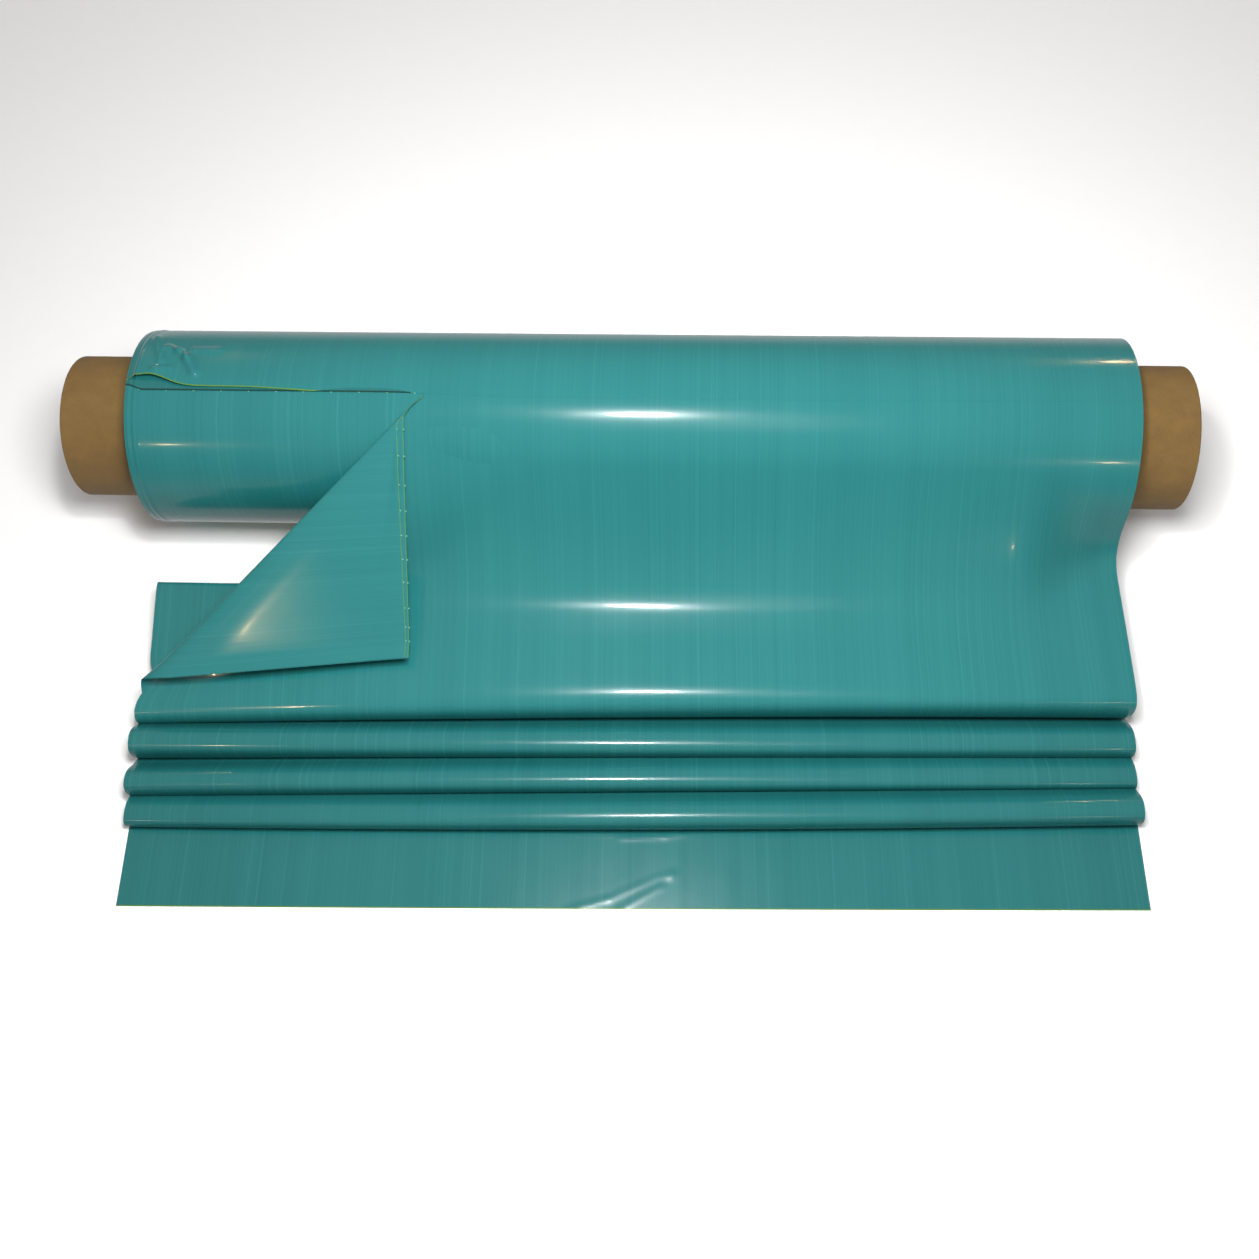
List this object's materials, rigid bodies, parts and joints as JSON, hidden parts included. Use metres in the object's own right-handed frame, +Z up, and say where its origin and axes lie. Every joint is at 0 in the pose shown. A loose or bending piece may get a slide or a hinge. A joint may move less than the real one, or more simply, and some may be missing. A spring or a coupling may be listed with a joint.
{
  "type": "roll of perforated tube film",
  "caption": "Roll of glossy two-layer tube film on a cardboard core, drawn off into soft pleats, with one torn corner folded over.",
  "frame": {"origin": "middle of the footprint, on the floor that the roll and the drawn-off film lie on", "axes": "+X along the roll, +Z up, and -Y towards the drawn-off film's cut edge"},
  "size_m": [1.3716, 0.7125, 0.2412],
  "materials": {
    "film": "glossy polyethylene film, teal green",
    "core_board": "plain brown paperboard, matt",
    "tape": "paper tape"
  },
  "bodies": {
    "web": {"leading_bag": "film", "second_bag": "film", "perforation_ties": "film"},
    "roll": {"core": "core_board", "start_tape_left": "tape", "start_tape_middle": "tape", "start_tape_right": "tape", "bag_03": "film", "bag_04": "film", "bag_05": "film", "bag_06": "film", "bag_07": "film", "bag_08": "film", "bag_09": "film", "bag_10": "film", "bag_11": "film", "bag_12": "film", "bag_13": "film", "bag_14": "film", "bag_15": "film", "bag_16": "film", "bag_17": "film", "bag_18": "film", "bag_19": "film", "bag_20": "film", "bag_21": "film"},
    "flap": {"torn_corner_flap": "film"}
  },
  "joints": [
    {"name": "roll_spin", "type": "hinge", "parent": "web", "child": "roll", "pos_m": [0, 0.2357, 0.1206], "axis": [1, 0, 0], "continuous": true},
    {"name": "corner_fold", "type": "hinge", "parent": "web", "child": "flap", "pos_m": [-0.2455, 0.1897, 0.23719], "axis": [-0.6865, -0.6132, -0.3907], "range_deg": [0, 165]}
  ]
}
